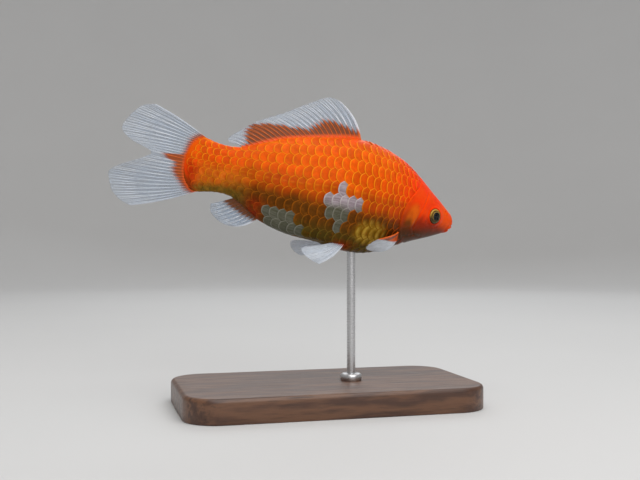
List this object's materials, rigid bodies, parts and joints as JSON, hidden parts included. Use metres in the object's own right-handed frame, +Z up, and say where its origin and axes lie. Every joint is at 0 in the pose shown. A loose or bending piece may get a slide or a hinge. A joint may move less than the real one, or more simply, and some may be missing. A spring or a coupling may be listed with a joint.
{
  "type": "goldfish",
  "caption": "Life-size goldfish with its fins spread, nose down and body gently curved, held above a flat base by a plain rod.",
  "frame": {"origin": "the middle of the underside of the stand's base, on the surface that the model stands on", "axes": "+X along the fish's chord, towards the head; +Y to the fish's left; +Z up"},
  "size_m": [0.1514, 0.068, 0.1287],
  "materials": {
    "skin": "wet scaled skin, red-orange with white patches",
    "fin": "thin rayed fin, translucent white",
    "eye": "wet eye, bronze iris round a black pupil",
    "wood": "dark satin hardwood",
    "steel": "satin"
  },
  "bodies": {
    "root": {"head": "skin", "lower_jaw": "skin", "gill_cover_left": "skin", "gill_cover_right": "skin", "trunk": "skin", "tail_stem": "skin", "eye_left": "eye", "eye_right": "eye", "dorsal_fin": "fin", "anal_fin": "fin", "caudal_fin_upper": "fin", "caudal_fin_lower": "fin", "pelvic_fin_left": "fin", "pelvic_fin_right": "fin", "pectoral_fin_left": "fin", "pectoral_fin_right": "fin", "stand_base": "wood", "stand_rod": "steel", "stand_collar": "steel"}
  },
  "joints": []
}
